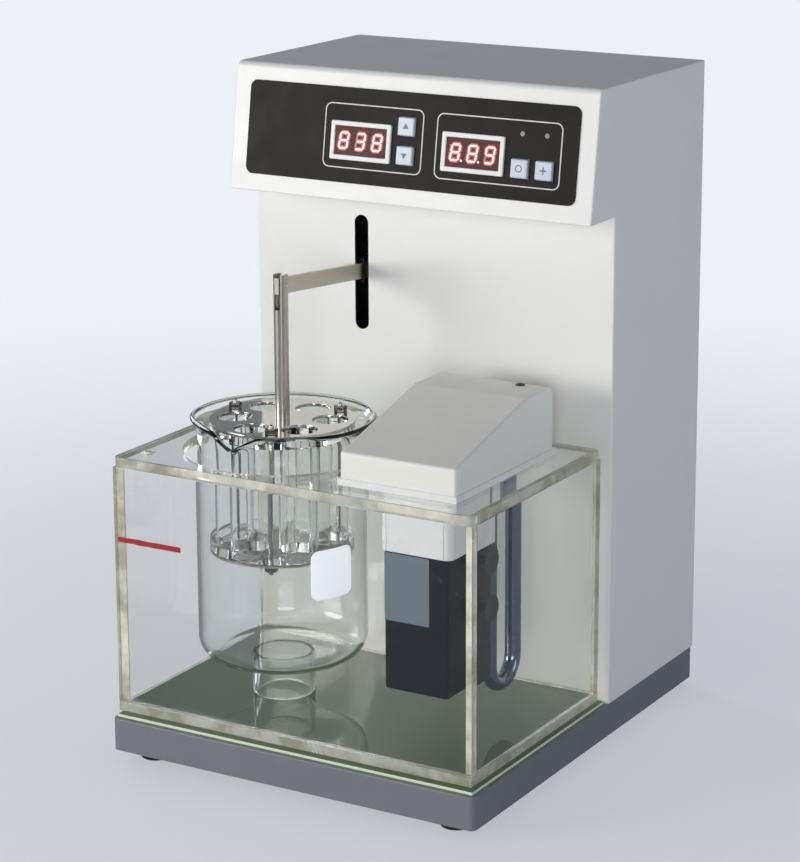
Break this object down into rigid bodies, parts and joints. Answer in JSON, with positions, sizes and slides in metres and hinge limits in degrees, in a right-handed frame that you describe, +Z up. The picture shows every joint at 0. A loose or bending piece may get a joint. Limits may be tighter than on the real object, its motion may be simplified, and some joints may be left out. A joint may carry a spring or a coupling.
{
  "type": "tablet disintegration tester",
  "caption": "Bench tester: a crank drives a basket of glass tubes up and down in a beaker that stands in a clear heated water tank with a lid.",
  "frame": {"origin": "on the bench under the middle of the base", "axes": "+X to the right, +Y to the back, +Z up"},
  "size_m": [0.256, 0.296, 0.416],
  "materials": {
    "ivory_paint": "satin powder coat",
    "plinth_paint": "satin grey paint",
    "zinc_steel": "zinc plated",
    "rubber": "matt",
    "green_mat": "matt mat",
    "stainless": "satin",
    "dark_overlay": "satin film",
    "white_plastic": "moulded",
    "red_filter": "tinted",
    "black_plastic": "moulded",
    "circuit_board": "lacquered",
    "brass": "plain",
    "lamp_red": "moulded",
    "key_plastic": "moulded",
    "aluminium": "machined",
    "motor_grey": "plain",
    "bronze": "sintered",
    "clear_acrylic": "polished",
    "glass": "clear",
    "dark_box": "moulded"
  },
  "bodies": {
    "case": {"plinth": "plinth_paint", "bottom_cover": "zinc_steel", "rubber_feet": "rubber", "tank_mat": "green_mat", "column_shell": "ivory_paint", "back_panel": "ivory_paint", "case_screws": "stainless", "control_fascia": "dark_overlay", "display_bezels": "white_plastic", "display_windows": "red_filter", "display_modules": "black_plastic", "control_board": "circuit_board", "board_standoffs": "brass", "key_switches": "black_plastic", "indicator_lamps": "lamp_red", "chassis_plate": "zinc_steel", "guide_brackets": "aluminium", "guide_rods": "stainless", "gear_motor": "motor_grey", "transformer": "motor_grey", "beaker_pedestal": "clear_acrylic", "tank_floor": "clear_acrylic", "tank_long_panes": "clear_acrylic", "tank_short_panes": "clear_acrylic", "mains_inlet": "black_plastic", "unit_socket": "zinc_steel", "power_switch_body": "black_plastic"},
    "lift": {"carriage": "aluminium", "carriage_bushes": "bronze", "yoke_plate": "zinc_steel", "lift_arm": "stainless", "arm_screws": "stainless"},
    "crank": {"crank_disc": "zinc_steel", "crank_pin": "stainless", "follower_roller": "bronze"},
    "basket": {"hanger_tube": "stainless", "hanger_pin": "stainless", "basket_disc": "stainless", "rack_plates": "clear_acrylic", "basket_tubes": "glass", "basket_mesh": "stainless", "basket_tie_bolts": "stainless"},
    "beaker": {"beaker": "glass"},
    "lid": {"tank_lid": "clear_acrylic"},
    "unit": {"unit_base": "white_plastic", "unit_cover": "ivory_paint", "unit_gland": "black_plastic", "unit_pin": "stainless", "pump_box": "dark_box", "pump_motor": "motor_grey", "suction_cups": "rubber", "heater_tube": "stainless", "heater_glands": "stainless", "temperature_probe": "stainless"},
    "impeller": {"pump_impeller": "white_plastic"},
    "left_key_upper": {"left_key_upper": "key_plastic"},
    "left_key_lower": {"left_key_lower": "key_plastic"},
    "right_key_inner": {"right_key_inner": "key_plastic"},
    "right_key_outer": {"right_key_outer": "key_plastic"},
    "rocker": {"power_rocker": "black_plastic"}
  },
  "joints": [
    {"name": "lift_slide", "type": "slide", "parent": "case", "child": "lift", "axis": [0, 0, 1], "range_m": [-0.0275, 0.0275]},
    {"name": "crank_turn", "type": "hinge", "parent": "case", "child": "crank", "pos_m": [-0.05, 0.071, 0.284], "axis": [0, 1, 0], "continuous": true},
    {"name": "basket_unhook", "type": "slide", "parent": "lift", "child": "basket", "axis": [0, 0, 1], "range_m": [0, 0.009]},
    {"name": "beaker_lift", "type": "slide", "parent": "case", "child": "beaker", "axis": [0, 0, 1], "range_m": [0, 0.03]},
    {"name": "lid_lift", "type": "slide", "parent": "case", "child": "lid", "axis": [0, 0, 1], "range_m": [0, 0.04]},
    {"name": "unit_lift", "type": "slide", "parent": "lid", "child": "unit", "axis": [0, 0, 1], "range_m": [0, 0.06]},
    {"name": "impeller_turn", "type": "hinge", "parent": "unit", "child": "impeller", "pos_m": [0.0725, -0.094, 0.11], "axis": [0, 0, 1], "continuous": true},
    {"name": "left_key_upper_press", "type": "slide", "parent": "case", "child": "left_key_upper", "axis": [0, 0.9889, -0.1483], "range_m": [0, 0.0005], "stiffness_N_per_m": 200},
    {"name": "left_key_lower_press", "type": "slide", "parent": "case", "child": "left_key_lower", "axis": [0, 0.9889, -0.1483], "range_m": [0, 0.0005], "stiffness_N_per_m": 200},
    {"name": "right_key_inner_press", "type": "slide", "parent": "case", "child": "right_key_inner", "axis": [0, 0.9889, -0.1483], "range_m": [0, 0.0005], "stiffness_N_per_m": 200},
    {"name": "right_key_outer_press", "type": "slide", "parent": "case", "child": "right_key_outer", "axis": [0, 0.9889, -0.1483], "range_m": [0, 0.0005], "stiffness_N_per_m": 200},
    {"name": "rocker_tilt", "type": "hinge", "parent": "case", "child": "rocker", "pos_m": [-0.025, 0.138, 0.06], "axis": [1, 0, 0], "range_deg": [0, 18]}
  ]
}
